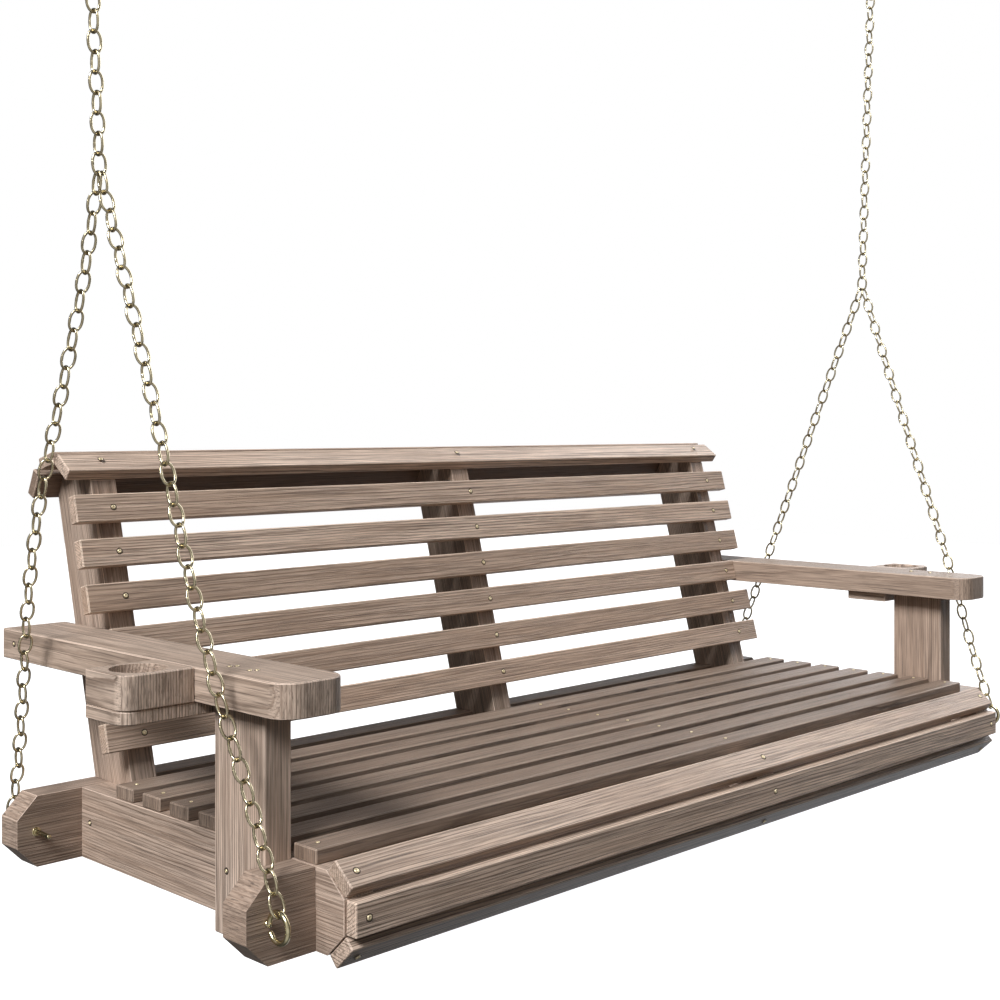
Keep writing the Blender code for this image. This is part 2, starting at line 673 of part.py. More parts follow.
def build():
    clear_scene()
    make_bench_frame()
    make_seat_slats()
    make_nose_slats()
    make_back()
    for side in ("left", "right"):
        make_arm(side)
        make_hook(side)
    make_eye_bolts()
    make_legs()
    make_junction_link()
    make_upper_chains()


build()
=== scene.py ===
import json
import math
import random

import bmesh
import bpy
from mathutils import Matrix, Vector


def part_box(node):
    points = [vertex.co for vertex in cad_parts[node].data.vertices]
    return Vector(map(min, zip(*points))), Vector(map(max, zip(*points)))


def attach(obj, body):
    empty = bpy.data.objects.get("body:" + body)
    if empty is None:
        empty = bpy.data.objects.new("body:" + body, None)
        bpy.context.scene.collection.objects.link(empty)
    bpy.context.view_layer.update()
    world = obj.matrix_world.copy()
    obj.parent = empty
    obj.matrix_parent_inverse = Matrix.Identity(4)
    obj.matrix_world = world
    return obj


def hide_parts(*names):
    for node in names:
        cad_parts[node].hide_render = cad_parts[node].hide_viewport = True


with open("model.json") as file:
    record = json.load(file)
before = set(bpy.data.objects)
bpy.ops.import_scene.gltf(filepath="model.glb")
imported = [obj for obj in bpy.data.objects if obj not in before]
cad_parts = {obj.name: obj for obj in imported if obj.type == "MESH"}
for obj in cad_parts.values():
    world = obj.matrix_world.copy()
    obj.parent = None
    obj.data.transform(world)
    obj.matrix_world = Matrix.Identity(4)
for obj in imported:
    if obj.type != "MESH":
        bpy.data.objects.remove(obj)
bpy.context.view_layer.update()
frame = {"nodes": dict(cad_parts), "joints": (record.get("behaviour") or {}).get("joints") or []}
NODES = frame["nodes"]

# ---- places and directions ---------------------------------------------------
X = Vector((1.0, 0.0, 0.0))
Y = Vector((0.0, 1.0, 0.0))
Z = Vector((0.0, 0.0, 1.0))
RAIL_LO, RAIL_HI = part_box("rail_left")
BENCH = Vector((RAIL_LO.x, RAIL_LO.y, RAIL_HI.z))     # left rail's outer face, nose, top
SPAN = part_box("rail_right")[1].x - RAIL_LO.x          # across both rails' outer faces
SIDES = ("left", "right")
SEAT = "swing_seat"
UPPER = "upper_chains"
HOOKS = "ceiling_hooks"
JOINT = {joint["name"]: Vector(joint["pos_m"]) for joint in frame["joints"]}
RECLINE = math.radians(14.84)
UP_BACK = Vector((0.0, math.sin(RECLINE), math.cos(RECLINE)))
FORWARD = Vector((0.0, -math.cos(RECLINE), math.sin(RECLINE)))
NOSE_CUT = math.atan2(0.0246, 0.0293)


def at(x, y, z):
    """A place measured from the left rail's outer top front corner."""
    return BENCH + Vector((x, y, z))


def sided(side, x):
    """A distance from the left rail, or the same distance from the right one."""
    return x if side == "left" else SPAN - x


def turned(angle):
    """A direction in the YZ plane, from +Y towards +Z."""
    return Vector((0.0, math.cos(angle), math.sin(angle)))


# ---- small helpers -----------------------------------------------------------
def new_object(name, mesh):
    item = bpy.data.objects.new(name, mesh)
    bpy.context.scene.collection.objects.link(item)
    return item


def mesh_from(shape, name):
    mesh = bpy.data.meshes.new(name)
    shape.to_mesh(mesh)
    shape.free()
    return mesh


def around(centre, start, other, radius, angle):
    """The point at an angle on a circle, from the start direction towards the other."""
    return centre + radius * (math.cos(angle) * start + math.sin(angle) * other)


def add_tube(shape, path, radius, sides, closed, normal=None):
    """A round wire along a path; radius may be a list."""
    count = len(path)
    rings = []
    side = None
    for index, point in enumerate(path):
        after = path[(index + 1) % count] if closed or index < count - 1 else point
        before = path[index - 1] if closed or index > 0 else point
        along = (after - before).normalized()
        if normal is not None:
            across = normal.cross(along).normalized()
            other = normal
        else:
            if side is None:
                side = along.orthogonal()
            across = (side - along * side.dot(along)).normalized()
            side = across
            other = along.cross(across)
        size = radius[index] if isinstance(radius, list) else radius
        ring = []
        for step in range(sides):
            angle = 2.0 * math.pi * step / sides
            ring.append(shape.verts.new(around(point, across, other, size, angle)))
        rings.append(ring)
    for index in range(count if closed else count - 1):
        ring, following = rings[index], rings[(index + 1) % count]
        for step in range(sides):
            beside = (step + 1) % sides
            shape.faces.new((ring[step], ring[beside], following[beside], following[step]))
    if not closed:
        shape.faces.new(rings[0][::-1])
        shape.faces.new(rings[-1])


def add_lathe(shape, centre, axis, profile, sides, looped=False):
    """Rings of (radius, height) about an axis, closed at a zero radius or joined in a loop."""
    start = axis.orthogonal().normalized()
    other = axis.cross(start)
    rings = []
    for radius, height in profile:
        middle = centre + axis * height
        if radius < 1e-9:
            rings.append([shape.verts.new(middle)])
            continue
        rings.append([shape.verts.new(around(middle, start, other, radius, 2 * math.pi * i / sides))
                      for i in range(sides)])
    following = rings[1:] + rings[:1] if looped else rings[1:]
    for low, high in zip(rings, following):
        for i in range(sides):
            j = (i + 1) % sides
            if len(low) == 1:
                shape.faces.new((low[0], high[j], high[i]))
            elif len(high) == 1:
                shape.faces.new((low[i], low[j], high[0]))
            else:
                shape.faces.new((low[i], low[j], high[j], high[i]))


def finish_piece(item, body, nodes, smooth=True):
    """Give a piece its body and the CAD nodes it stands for."""
    if smooth:
        item.data.shade_smooth()
    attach(item, body)
    if nodes:
        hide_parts(*nodes)


# ---- materials ---------------------------------------------------------------
class Tree:
    """A thin wrapper that adds and links the nodes of a shader tree."""

    def __init__(self, tree):
        self.tree = tree

    def add(self, kind, **settings):
        node = self.tree.nodes.new(kind)
        for key, value in settings.items():
            setattr(node, key, value)
        return node

    def link(self, source, target):
        if isinstance(source, (int, float, tuple)):
            target.default_value = source
        else:
            self.tree.links.new(source, target)

    def math(self, operation, a, b=0.0, c=0.0, clamp=False):
        node = self.add("ShaderNodeMath", operation=operation, use_clamp=clamp)
        for socket, value in zip(node.inputs, (a, b, c)):
            self.link(value, socket)
        return node.outputs[0]

    def scaled(self, vector, scale):
        node = self.add("ShaderNodeVectorMath", operation='MULTIPLY')
        self.link(vector, node.inputs[0])
        node.inputs[1].default_value = scale
        return node.outputs[0]

    def noise(self, vector, detail, roughness):
        node = self.add("ShaderNodeTexNoise", noise_dimensions='3D')
        self.link(vector, node.inputs["Vector"])
        node.inputs["Scale"].default_value = 1.0
        node.inputs["Detail"].default_value = detail
        node.inputs["Roughness"].default_value = roughness
        return node.outputs["Fac"]

    def ramp(self, value, stops):
        node = self.add("ShaderNodeValToRGB")
        elements = node.color_ramp.elements
        while len(elements) < len(stops):
            elements.new(0.5)
        for element, (position, level) in zip(elements, stops):
            element.position = position
            element.color = (level, level, level, 1.0) if isinstance(level, float) else (*level, 1.0)
        self.link(value, node.inputs["Fac"])
        return node.outputs["Color"]

    def mix(self, factor, a, b, blend='MIX'):
        node = self.add("ShaderNodeMix", data_type='RGBA', blend_type=blend)
        self.link(factor, node.inputs["Factor"])
        for socket, value in ((node.inputs[6], a), (node.inputs[7], b)):
            if isinstance(value, tuple):
                value = (*value, 1.0)
            self.link(value, socket)
        return node.outputs[2]


class Material(Tree):
    """A new material's tree, with its main shader."""

    def __init__(self, name):
        self.material = bpy.data.materials.new(name)
        self.material.use_nodes = True
        super().__init__(self.material.node_tree)
        self.shader = self.tree.nodes["Principled BSDF"]

    def attribute(self, name):
        return self.add("ShaderNodeAttribute", attribute_type='GEOMETRY', attribute_name=name)

    def bump(self, height, strength, distance):
        node = self.add("ShaderNodeBump")
        node.inputs["Strength"].default_value = strength
        node.inputs["Distance"].default_value = distance
        self.link(height, node.inputs["Height"])
        self.link(node.outputs[0], self.shader.inputs["Normal"])


RING_WIDTH = 0.0045        # between growth rings
RING_WAVE = 0.0115         # how far the rings wander over a board's length
RING_RIPPLE = 0.0014


def growth_rings(n, grain):
    """The dark late wood of each ring, 0 to 1, some rings stronger than others."""
    parts = n.add("ShaderNodeSeparateXYZ")
    n.link(grain, parts.inputs[0])
    slow = n.noise(n.scaled(grain, (3.4, 20.0, 20.0)), 2.0, 0.5)
    quick = n.noise(n.scaled(grain, (30.0, 150.0, 150.0)), 3.0, 0.55)
    radius = n.math('SQRT', n.math('ADD', n.math('MULTIPLY', parts.outputs[1], parts.outputs[1]),
                                   n.math('MULTIPLY', parts.outputs[2], parts.outputs[2])))
    warped = n.math('ADD', radius, n.math('MULTIPLY', n.math('SUBTRACT', slow, 0.5), RING_WAVE))
    warped = n.math('ADD', warped, n.math('MULTIPLY', n.math('SUBTRACT', quick, 0.5), RING_RIPPLE))
    rings = n.math('DIVIDE', warped, RING_WIDTH)
    late = n.ramp(n.math('FRACT', rings), [(0.0, 0.80), (0.05, 0.0), (0.60, 0.02), (0.78, 0.40),
                                           (0.90, 1.0), (1.0, 0.80)])
    chance = n.add("ShaderNodeTexWhiteNoise", noise_dimensions='1D')
    n.link(n.math('FLOOR', rings), chance.inputs["W"])
    late = n.math('MULTIPLY', late, n.math('MULTIPLY_ADD', chance.outputs["Value"], 0.60, 0.75))
    fade = n.noise(n.scaled(grain, (4.0, 30.0, 30.0)), 2.0, 0.5)
    return n.math('MULTIPLY', late, n.ramp(fade, [(0.36, 0.55), (0.52, 1.0)]))


def wood_material(name, light, dark, warmth):
    """Stained softwood: growth rings about the pith, streaks and fibres, a tone that for some boards
    is painted light and shade, and pale edges that are a painted highlight.
    """
    n = Material(name)
    grain = n.attribute("grain").outputs["Vector"]
    tone_and_painted_shade = n.attribute("tone_and_painted_shade").outputs["Fac"]
    edge = n.attribute("edge").outputs["Fac"]
    late = growth_rings(n, grain)
    streak = n.noise(n.scaled(grain, (3.0, 170.0, 170.0)), 3.0, 0.65)
    fibre = n.noise(n.scaled(grain, (14.0, 420.0, 420.0)), 3.0, 0.70)
    pore = n.ramp(n.noise(n.scaled(grain, (7.0, 620.0, 620.0)), 2.0, 0.6),
                  [(0.56, 0.0), (0.64, 1.0)])
    blotch = n.noise(n.scaled(grain, (3.5, 14.0, 14.0)), 2.0, 0.5)
    colour = n.mix(n.math('MULTIPLY', late, 0.95, clamp=True), light, dark)
    colour = n.mix(n.ramp(streak, [(0.34, 0.70), (0.52, 0.0)]), colour, dark)
    colour = n.mix(n.ramp(blotch, [(0.42, 0.0), (0.72, 0.55)]), colour, warmth)
    # the tone is stain, and for some boards painted light and shade; it warms and darkens the colour
    colour = n.mix(n.math('MULTIPLY_ADD', tone_and_painted_shade, 0.30, 0.30), colour, warmth)
    shade = n.math('MULTIPLY_ADD', fibre, 1.60, 0.29)
    shade = n.math('MULTIPLY', shade, n.math('MULTIPLY_ADD', tone_and_painted_shade, -0.13, 1.0))
    shade = n.math('MULTIPLY', shade, n.math('MULTIPLY_ADD', pore, -0.42, 1.0))
    grey = n.add("ShaderNodeCombineColor")
    for socket in grey.inputs:
        n.link(shade, socket)
    colour = n.mix(1.0, colour, grey.outputs[0], 'MULTIPLY')
    # pale edges: a painted highlight along the rounded edges, patchy with the blotches
    pale = tuple(min(1.0, channel * 1.55) for channel in light)
    painted_edge_highlight = n.math('MULTIPLY', edge, n.ramp(blotch, [(0.35, 0.25), (0.60, 0.85)]))
    colour = n.mix(painted_edge_highlight, colour, pale)
    n.link(colour, n.shader.inputs["Base Color"])
    rough = n.math('MULTIPLY_ADD', late, -0.12, 0.42)
    rough = n.math('MULTIPLY_ADD', fibre, 0.16, rough)
    n.link(rough, n.shader.inputs["Roughness"])
    n.shader.inputs["Specular IOR Level"].default_value = 0.40
    height = n.math('MULTIPLY_ADD', late, 0.7, n.math('MULTIPLY', fibre, 0.7))
    n.bump(n.math('MULTIPLY_ADD', pore, -0.8, height), 0.55, 0.0005)
    return n.material


def metal_material(name, colour, tarnish, roughness, metallic=1.0):
    """Yellow metal: pale, slightly uneven, duller in patches."""
    n = Material(name)
    place = n.attribute("place").outputs["Vector"]
    patch = n.noise(n.scaled(place, (160.0, 160.0, 160.0)), 3.0, 0.6)
    fine = n.noise(n.scaled(place, (900.0, 900.0, 900.0)), 2.0, 0.6)
    colour = n.mix(n.ramp(patch, [(0.38, 0.0), (0.66, 1.0)]), colour, tarnish)
    n.link(colour, n.shader.inputs["Base Color"])
    n.shader.inputs["Metallic"].default_value = metallic
    n.link(n.math('MULTIPLY_ADD', patch, 0.20, roughness - 0.08), n.shader.inputs["Roughness"])
    n.bump(fine, 0.25, 0.0002)
    return n.material


def recess_shade_material(name):
    """Painted shade of the recess round a screw, darker and lighter in patches."""
    n = Material(name)
    place = n.attribute("place").outputs["Vector"]
    patch = n.noise(n.scaled(place, (700.0, 700.0, 700.0)), 3.0, 0.6)
    colour = n.mix(patch, (0.020, 0.014, 0.010), (0.075, 0.052, 0.038))
    n.link(colour, n.shader.inputs["Base Color"])
    n.shader.inputs["Roughness"].default_value = 0.8
    return n.material


DARK = (0.098, 0.064, 0.045)
WARM = (0.345, 0.242, 0.180)
FRAME_WOOD = wood_material("frame_wood", (0.540, 0.420, 0.342), DARK, WARM)
# painted light: the back slats' copy of the stained wood is lightened for the extra light the back
# takes
BACK_WOOD_PAINTED_LIGHT = wood_material("back_slat_wood", (0.690, 0.530, 0.424), (0.110, 0.068, 0.044),
                          (0.440, 0.300, 0.215))
# painted light: the nose slats' copy of the stained wood is lightened
NOSE_WOOD_PAINTED_LIGHT = wood_material("nose_slat_wood_painted_light", (0.570, 0.440, 0.352), DARK, WARM)
# painted shade: the seat slats' copy of the stained wood is darkened
SEAT_WOOD_PAINTED_SHADE = wood_material("seat_slat_wood", (0.306, 0.231, 0.181), (0.044, 0.028, 0.020),
                          (0.230, 0.160, 0.118))
ARM_WOOD = wood_material("arm_wood", (0.575, 0.452, 0.368), (0.092, 0.062, 0.046),
                         (0.380, 0.275, 0.208))
CHAIN_METAL = metal_material("chain_zinc", (0.640, 0.560, 0.385), (0.400, 0.340, 0.215), 0.25)
FITTING_METAL = metal_material("fitting_zinc", (0.700, 0.620, 0.400), (0.480, 0.410, 0.240), 0.22)
RECESS_SHADE = recess_shade_material("painted_screw_recess_shade")
SCREW_METAL = metal_material("screw_brass", (0.900, 0.760, 0.500), (0.620, 0.500, 0.300), 0.34, 0.60)


def placed_piece(shape, name, body, nodes, material=FITTING_METAL, smooth=True):
    """A finished piece that stores its own coordinates, so that its pattern moves with it."""
    mesh = mesh_from(shape, name)
    mesh.materials.append(material)
    place = mesh.attributes.new("place", 'FLOAT_VECTOR', 'POINT')
    place.data.foreach_set("vector", [value for vertex in mesh.vertices for value in vertex.co])
    item = new_object(name, mesh)
    finish_piece(item, body, nodes, smooth)
    return item


# ---- boards ------------------------------------------------------------------
# boards whose stain, and for some boards painted light and shade, is set; more is darker and warmer,
# and the others are drawn at random
# painted shade darkens cap_slat_rear under the cap and front_beam's front face; painted light lightens
# nose_slat_front and cap_slat_front
SET_STAIN_AND_PAINTED_LIGHT = {"armrest_right": 1.6, "arm_post_left": -0.8, "arm_post_right": 0.8, "cup_holder_left": -0.2,
         "armrest_left": 0.0, "rail_left": 0.1, "nose_slat_upper": 0.0, "front_beam": 1.1,
         "nose_slat_front": -1.6, "cap_slat_rear": 2.5, "cap_slat_front": -1.8}
SLAT_ROUNDING = 0.0006
TIMBER_ROUNDING = 0.0009
ARM_ROUNDING = 0.0008


def rounded_board(name, rounding):
    """A CAD board's mesh with its sharp edges rounded, and the rounded vertices marked."""
    shape = bmesh.new()
    shape.from_mesh(NODES[name].data)
    bmesh.ops.remove_doubles(shape, verts=shape.verts, dist=1e-5)
    bmesh.ops.dissolve_limit(shape, angle_limit=math.radians(1.5), verts=shape.verts,
                             edges=shape.edges)
    sharp = [edge for edge in shape.edges
             if len(edge.link_faces) == 2 and edge.calc_face_angle(0.0) > math.radians(22)]
    result = bmesh.ops.bevel(shape, geom=sharp, offset=rounding, segments=3, profile=0.5,
                             affect='EDGES', clamp_overlap=True)
    soft = set(result["faces"])
    layer = shape.verts.layers.float.new("edge")
    for vertex in shape.verts:
        vertex[layer] = 1.0 if all(face in soft for face in vertex.link_faces) else 0.0
    return shape


def board(name, along, across, cut, rounding, material, seed):
    """A CAD board again with rounded edges, and with coordinates that follow its grain.

    A quarter cut has its growth rings square to the across direction, a rift cut has them slanting.
    """
    rng = random.Random(seed)
    shape = rounded_board(name, rounding)
    through = along.cross(across)
    low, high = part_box(name)
    middle = (low + high) / 2.0
    if cut == "quarter":
        pith_across = rng.choice((-1, 1)) * rng.uniform(0.110, 0.160)
        pith_through = rng.uniform(-0.010, 0.010)
        fine = 1.20
    else:
        pith_across = rng.choice((-1, 1)) * rng.uniform(0.035, 0.080)
        pith_through = rng.choice((-1, 1)) * rng.uniform(0.045, 0.075)
        fine = 1.35
    lean_across = rng.uniform(-0.010, 0.010)
    lean_through = rng.uniform(-0.010, 0.010)
    offset = rng.uniform(-20.0, 20.0)
    grain = shape.loops.layers.float_vector.new("grain")
    tone_and_painted_shade = shape.verts.layers.float.new("tone_and_painted_shade")
    # the set value is stain, and for some boards painted light and shade
    shade = SET_STAIN_AND_PAINTED_LIGHT.get(name, rng.uniform(-0.8, 0.8))
    shape.normal_update()
    reach = 0.40 * (high - low).dot(Vector([abs(part) for part in along]))
    for face in shape.faces:
        # end grain shows as stripes through the board's thickness
        end = abs((face.calc_center_median() - middle).dot(along)) > reach
        drawn = 0.10 if cut == "quarter" and end and abs(face.normal.dot(along)) > 0.55 else 1.0
        for loop in face.loops:
            place = loop.vert.co - middle
            length = place.dot(along)
            depth = drawn * place.dot(through) - pith_through + lean_through * length
            width = place.dot(across) - pith_across + lean_across * length
            loop[grain] = Vector((length + offset, fine * width, fine * depth))
    for vertex in shape.verts:
        vertex[tone_and_painted_shade] = shade
        vertex.co -= middle
    mesh = mesh_from(shape, name)
    mesh.materials.append(material)
    item = new_object("wood_" + name, mesh)
    item.location = middle
    weighted = item.modifiers.new("weighted", 'WEIGHTED_NORMAL')
    weighted.weight = 80
    weighted.keep_sharp = False
    finish_piece(item, SEAT, [name])


def make_boards():
    seat = ("slat_timber", SEAT_WOOD_PAINTED_SHADE)
    back = ("slat_timber", BACK_WOOD_PAINTED_LIGHT)
    nose = ("slat_timber", NOSE_WOOD_PAINTED_LIGHT)
    timber = ("frame_timber", FRAME_WOOD)
    arm = ("arm_timber", ARM_WOOD)
    plan = []
    for index in range(7):
        plan.append(("seat_slat_%d" % (index + 1), X, Y, "quarter", SLAT_ROUNDING, seat))
    for index in range(6):
        plan.append(("back_slat_%d" % (index + 1), X, UP_BACK, "rift", SLAT_ROUNDING, back))
    for name, across in (("nose_slat_upper", turned(NOSE_CUT)), ("nose_slat_front", Z),
                         ("nose_slat_lower", turned(-NOSE_CUT)), ("cap_slat_top", -FORWARD),
                         ("cap_slat_front", turned(NOSE_CUT - RECLINE)),
                         ("cap_slat_rear", turned(-NOSE_CUT - RECLINE))):
        plan.append((name, X, across, "rift", SLAT_ROUNDING, nose))
    for side in ("left", "middle", "right"):
        plan.append(("rail_" + side, Y, Z, "rift", TIMBER_ROUNDING, timber))
        plan.append(("upright_" + side, UP_BACK, -FORWARD, "quarter", TIMBER_ROUNDING, timber))
    for end in ("front", "rear"):
        plan.append((end + "_beam", X, Z, "quarter", TIMBER_ROUNDING, timber))
    for side in SIDES:
        plan.append(("arm_post_" + side, Z, Y, "quarter", SLAT_ROUNDING, timber))
        plan.append(("armrest_" + side, Y, X, "quarter", ARM_ROUNDING, arm))
        plan.append(("cup_holder_" + side, Y, X, "quarter", SLAT_ROUNDING, arm))
        plan.append(("cup_plate_" + side, Y, X, "quarter", SLAT_ROUNDING, arm))
    for seed, (name, along, across, cut, rounding, (slot, material)) in enumerate(plan, start=11):
        board(name, along, across, cut, rounding, material, seed)


# ---- chains ------------------------------------------------------------------
LINK_R = 0.0016            # wire
LINK_PITCH = 0.0230        # inside length
LINK_HALF = 0.0082         # half width to the wire's middle
JUNCTION_HALF = 0.0089
LINK_OVAL = 0.65           # 1 is an ellipse, 0 a stadium
HINGE_X = {"left": -0.1008, "right": -0.1118}
LEG_LINKS = {"left": 36, "right": 35}
LEG_SPREAD = 0.0019
JUNCTION_SPREAD = 0.0029
LEG_FIT = {"top": 0.0011, "eye": 0.0008}
# outward bow of each leg: (share of the length from the top, distance)
LEG_BOWS = {
    "front_left": ((0.30, 0.0030), (0.60, 0.0105), (0.73, 0.0090), (0.86, 0.0020)),
    "rear_left": ((0.15, 0.0008), (0.30, 0.0085), (0.48, 0.0190), (0.62, 0.0180), (0.80, 0.0075),
                  (0.92, 0.0010)),
    "front_right": ((0.30, 0.0020), (0.60, 0.0070), (0.75, 0.0040), (0.87, -0.0018)),
    "rear_right": ((0.35, -0.0010), (0.70, 0.0020)),
}
UPPER_LINKS = 24
SPREAD_STEPS = 400
LINK_TWIST = 2.5           # degrees either way
FIT = 0.0003               # play between touching wires
EYE_Z = -0.0446
EYE_R = 0.0155
EYE_WIRE = 0.0030
HOOK_WIRE = 0.0040
HOOK_R = 0.0160


def link_reach(half_width, across):
    """How far up a link's wire lies at a distance across from its middle."""
    tall = LINK_PITCH / 2.0 + LINK_R
    rise = math.sqrt(max(0.0, 1.0 - (across / half_width) ** 2))
    return LINK_OVAL * tall * rise + (1.0 - LINK_OVAL) * (half_width * rise + tall - half_width)


def add_link(shape, centre, along, normal, half_width=LINK_HALF):
    """An oval of round wire, with its weld."""
    across = normal.cross(along).normalized()
    path = []
    for end, start in ((1.0, 0.0), (-1.0, math.pi)):
        for step in range(13):
            x = half_width * math.cos(start + math.pi * step / 12)
            path.append(centre + across * x + along * (end * link_reach(half_width, x)))
    add_tube(shape, path, LINK_R, 12, True, normal)
    # the weld, a slight swelling on one long side
    weld = centre - across * half_width
    steps = [weld + along * (0.0036 * (i / 4 - 1.0)) for i in range(9)]
    sizes = [LINK_R * (0.90 + 0.24 * math.sin(math.pi * i / 8)) for i in range(9)]
    add_tube(shape, steps, sizes, 12, False)


def bow_at(stops, t):
    """Smooth outward bow through the given stops, zero at both ends."""
    knots = ((0.0, 0.0),) + stops + ((1.0, 0.0),)
    index = 0
    while index < len(knots) - 2 and t > knots[index + 1][0]:
        index += 1
    slopes = []
    for middle in (index, index + 1):
        before = knots[max(middle - 1, 0)]
        after = knots[min(middle + 1, len(knots) - 1)]
        slopes.append((after[1] - before[1]) / (after[0] - before[0]))
    (start, low), (end, high) = knots[index], knots[index + 1]
    width = end - start
    s = (t - start) / width
    return (low * (1.0 + 2.0 * s) * (1.0 - s) ** 2 + high * s * s * (3.0 - 2.0 * s)
            + width * slopes[0] * s * (1.0 - s) ** 2 - width * slopes[1] * s * s * (1.0 - s))


def spread_along(top, bottom, outward, stops, count):
    """Points at equal distances along a bowed run, one more than the count of links."""
    fine = []
    for step in range(SPREAD_STEPS + 1):
        t = step / SPREAD_STEPS
        fine.append(top.lerp(bottom, t) + outward * bow_at(stops, t))
    lengths = [0.0]
    for before, after in zip(fine, fine[1:]):
        lengths.append(lengths[-1] + (after - before).length)
    points = []
    index = 0
    for step in range(count + 1):
        wanted = lengths[-1] * step / count
        while index < SPREAD_STEPS - 1 and lengths[index + 1] < wanted:
            index += 1
        share = (wanted - lengths[index]) / (lengths[index + 1] - lengths[index])
        points.append(fine[index].lerp(fine[index + 1], share))
    return points


def chain(points, first_flat, body, node, seed):
    """A run of links between the points, each turned a quarter from the one before."""
    rng = random.Random(seed)
    shape = bmesh.new()
    last = len(points) - 2
    for index, (start, end) in enumerate(zip(points, points[1:])):
        along = (start - end).normalized()
        flat = first_flat if index % 2 == 0 else not first_flat
        rough = X if flat else Y
        normal = (rough - along * rough.dot(along)).normalized()
        if 0 < index < last:
            turn = Matrix.Rotation(math.radians(rng.uniform(-LINK_TWIST, LINK_TWIST)), 3, along)
            normal = turn @ normal
        add_link(shape, (start + end) / 2.0, along, normal)
    placed_piece(shape, "links_" + node, body, [node], CHAIN_METAL)


def ring_centre(end, side):
    """The middle of an eye bolt's ring."""
    low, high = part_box("eye_bolt_%s_%s" % (end, side))
    y = low.y + EYE_WIRE + EYE_R if end == "front" else high.y - EYE_WIRE - EYE_R
    return Vector(((low.x + high.x) / 2.0, y, at(0, 0, EYE_Z).z))


def make_chains():
    hinge_yz = JOINT["seat_rock"]
    hook_yz = JOINT["chain_swing"]
    seed = 500
    for side in SIDES:
        hinge = Vector((at(sided(side, HINGE_X[side]), 0, 0).x, hinge_yz.y, hinge_yz.z))
        shared = hinge + Z * (LINK_R + FIT - LINK_PITCH / 2.0)
        outward = -X if side == "left" else X
        for end, back in (("front", -1.0), ("rear", 1.0)):
            centre = ring_centre(end, side)
            eye = Vector((centre.x, centre.y, centre.z + EYE_R))
            down = (eye - hinge).normalized()
            bottom = eye + down * (EYE_WIRE + LEG_FIT["eye"])
            if side == "left":
                top = hinge - X * (back * LEG_SPREAD) - down * (LINK_R + LEG_FIT["top"])
            else:
                low_wire = -link_reach(JUNCTION_HALF, JUNCTION_SPREAD)
                top = shared + Vector((0.0, back * JUNCTION_SPREAD, low_wire)) - down * (LINK_R + FIT)
            seed += 1
            points = spread_along(top, bottom, outward, LEG_BOWS[end + "_" + side], LEG_LINKS[side])
            chain(points, side == "left", SEAT, "leg_chain_%s_%s" % (end, side), seed)
        low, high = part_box("ceiling_hook_" + side)
        hook = Vector(((low.x + high.x) / 2.0, hook_yz.y, hook_yz.z))
        down = (hinge - hook).normalized()
        points = spread_along(hook - down * (HOOK_WIRE + FIT), hinge - down * LINK_R, outward, (),
                              UPPER_LINKS)
        seed += 1
        chain(points, True, UPPER, "upper_chain_" + side, seed)
        if side == "right":
            shape = bmesh.new()
            add_link(shape, shared, Z, X, JUNCTION_HALF)
            placed_piece(shape, "link_junction_right", SEAT, ["junction_link_right"], CHAIN_METAL)


# ---- bolts, hooks and screws -------------------------------------------------
RING_GAP = math.radians(24)
NECK = 0.015               # plain length between ring and thread
NECK_BITE = 0.0012         # how deep the neck runs into the ring's wire
SHANK_R = EYE_WIRE * 0.97
THREAD_PITCH = 0.0010
NUT_FLATS = 0.0086
BORE_R = 0.0031
SCREW_SIDES = 32


def threaded(shape, start, axis, radius, length):
    """A threaded rod: fine ridges with a blunt end."""
    profile = [(0.0, 0.0)]
    for step in range(int(length / THREAD_PITCH)):
        profile.append((radius * 0.86, step * THREAD_PITCH))
        profile.append((radius, (step + 0.5) * THREAD_PITCH))
    profile.append((radius * 0.80, length - 0.0004))
    profile.append((radius * 0.62, length))
    profile.append((0.0, length))
    add_lathe(shape, start, axis, profile, 20)


def eye_bolt(end, side, inward):
    """A rod bent to an almost closed ring, with a plain neck and a threaded shank."""
    name = "eye_bolt_%s_%s" % (end, side)
    low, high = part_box(name)
    centre = ring_centre(end, side)
    shape = bmesh.new()
    path = []
    for step in range(73):
        angle = (2.0 * math.pi - RING_GAP) * step / 72
        path.append(around(centre, inward, Z, EYE_R, angle))
    sizes = [EYE_WIRE] * 71 + [EYE_WIRE * 0.93, EYE_WIRE * 0.72]
    add_tube(shape, path, sizes, 20, False, X)
    length = (high.y - low.y) - 2.0 * EYE_R - EYE_WIRE
    face = centre + inward * (EYE_R - NECK_BITE)
    add_tube(shape, [face, face + inward * (NECK + 0.001)], SHANK_R, 20, False)
    threaded(shape, face + inward * NECK, inward, SHANK_R, length - NECK + NECK_BITE)
    placed_piece(shape, "metal_" + name, SEAT, [name])


def hexagon(shape, middle, axis, half):
    """A nut with chamfered corners and a bore."""
    other = axis.cross(Z)
    corner = NUT_FLATS / math.sqrt(3.0)
    rings = []
    for radius, height in ((BORE_R, -half), (NUT_FLATS * 0.47, -half), (corner, -half * 0.72),
                           (corner, half * 0.72), (NUT_FLATS * 0.47, half), (BORE_R, half)):
        ring = []
        for i in range(48):
            angle = 2 * math.pi * i / 48
            size = radius
            if radius == corner:
                away = (angle + math.pi / 6) % (math.pi / 3) - math.pi / 6
                size = min(radius, NUT_FLATS / 2.0 / math.cos(away))
            ring.append(shape.verts.new(around(middle + axis * height, other, Z, size, angle)))
        rings.append(ring)
    for low, high in zip(rings, rings[1:] + rings[:1]):
        for i in range(48):
            j = (i + 1) % 48
            shape.faces.new((low[i], low[j], high[j], high[i]))


